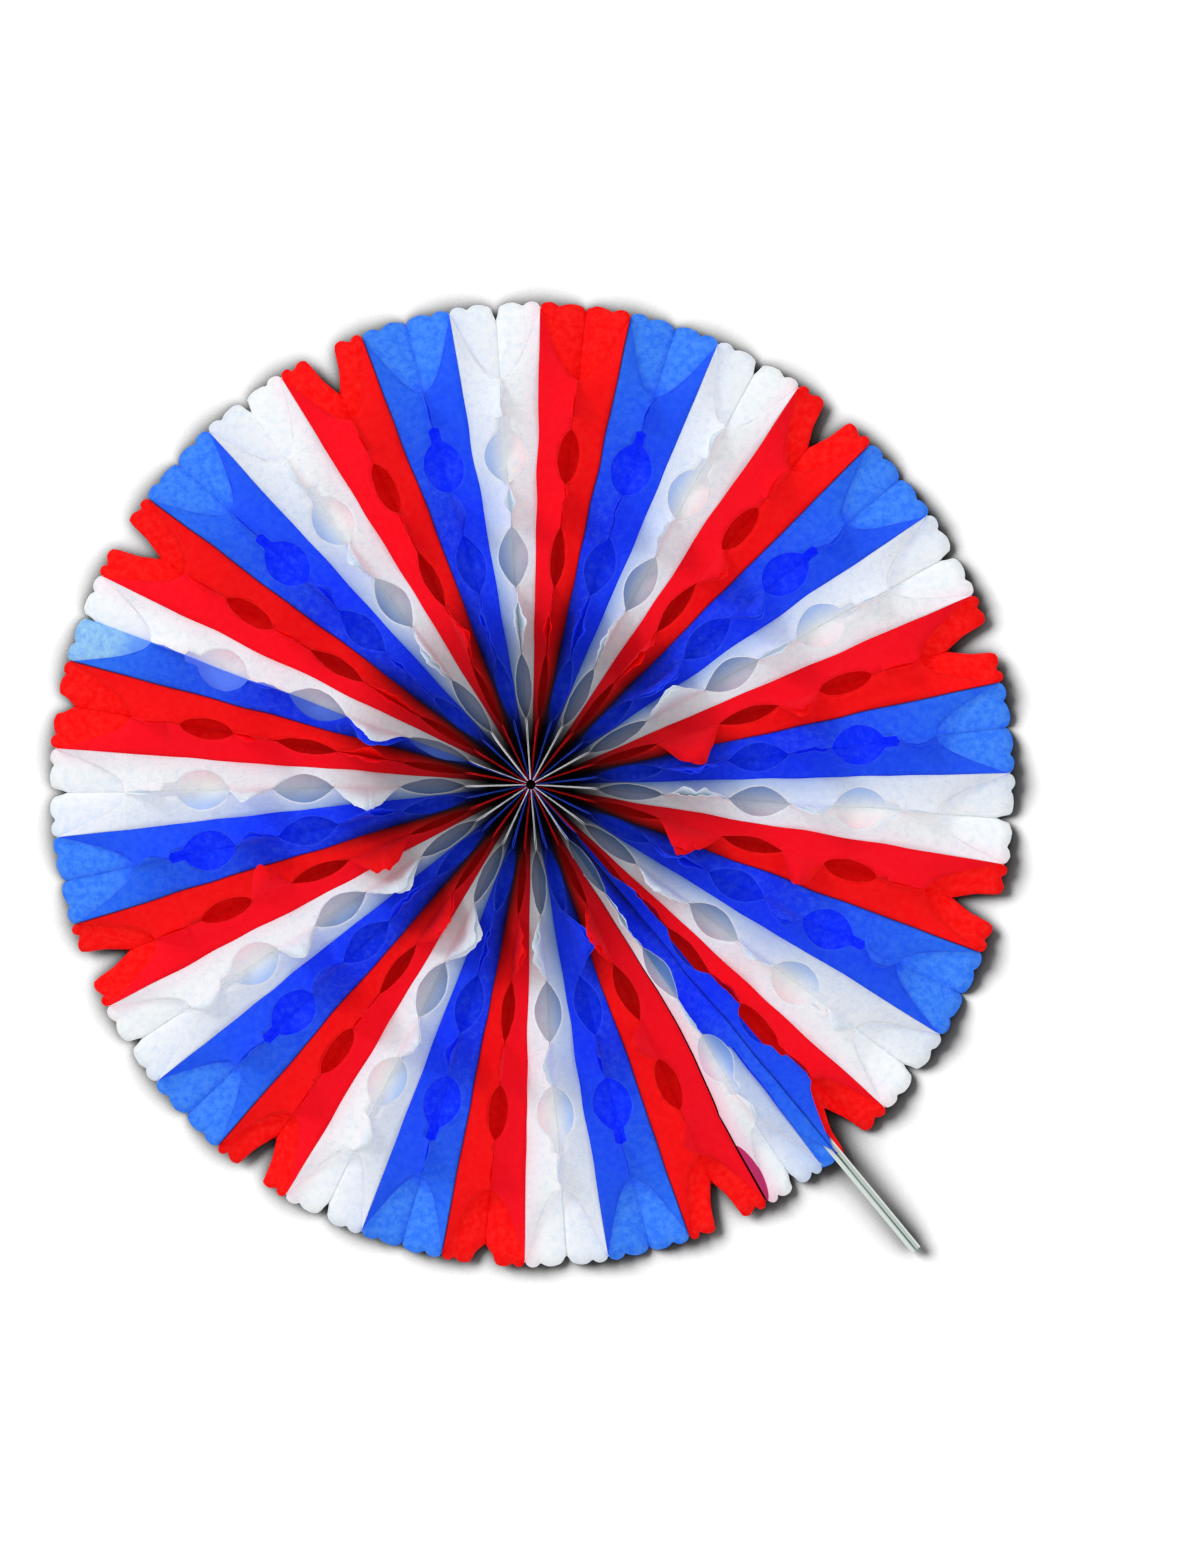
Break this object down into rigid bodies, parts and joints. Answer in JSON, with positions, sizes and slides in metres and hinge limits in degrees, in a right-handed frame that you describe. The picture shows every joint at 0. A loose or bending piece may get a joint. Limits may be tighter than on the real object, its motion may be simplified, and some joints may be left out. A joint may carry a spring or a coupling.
{
  "type": "paper fan rosette",
  "caption": "Round tissue paper fan, pleated like a rosette, with cut openings and upright crests, a scalloped rim and closing bars that stand out as a short handle.",
  "frame": {"origin": "centre of the hub, on the plane that the fan's back lies on", "axes": "+Z out of the fan's front, +Y from the hub up the picture, +X to the picture's right"},
  "size_m": [0.6, 0.6, 0.0678],
  "materials": {
    "red_tissue": "matte",
    "white_tissue": "matte",
    "blue_tissue": "matte",
    "bar": "smooth",
    "binding": "matte"
  },
  "bodies": {
    "root": {"blue_half_sheet_14": "blue_tissue", "blue_half_sheet_15": "blue_tissue", "blue_half_sheet_29": "blue_tissue", "blue_sheet_03": "blue_tissue", "blue_sheet_06": "blue_tissue", "blue_sheet_09": "blue_tissue", "blue_sheet_12": "blue_tissue", "blue_sheet_17": "blue_tissue", "blue_sheet_20": "blue_tissue", "blue_sheet_23": "blue_tissue", "blue_sheet_26": "blue_tissue", "blue_sheet_31": "blue_tissue", "blue_sheet_34": "blue_tissue", "hub_tie": "binding", "lower_handle_bar": "bar", "red_half_sheet_14": "red_tissue", "red_sheet_02": "red_tissue", "red_sheet_05": "red_tissue", "red_sheet_08": "red_tissue", "red_sheet_11": "red_tissue", "red_sheet_16": "red_tissue", "red_sheet_19": "red_tissue", "red_sheet_22": "red_tissue", "red_sheet_25": "red_tissue", "red_sheet_28": "red_tissue", "red_sheet_30": "red_tissue", "red_sheet_33": "red_tissue", "upper_handle_bar": "bar", "white_half_sheet_15": "white_tissue", "white_half_sheet_29": "white_tissue", "white_sheet_01": "white_tissue", "white_sheet_04": "white_tissue", "white_sheet_07": "white_tissue", "white_sheet_10": "white_tissue", "white_sheet_13": "white_tissue", "white_sheet_18": "white_tissue", "white_sheet_21": "white_tissue", "white_sheet_24": "white_tissue", "white_sheet_27": "white_tissue", "white_sheet_32": "white_tissue"}
  },
  "joints": []
}
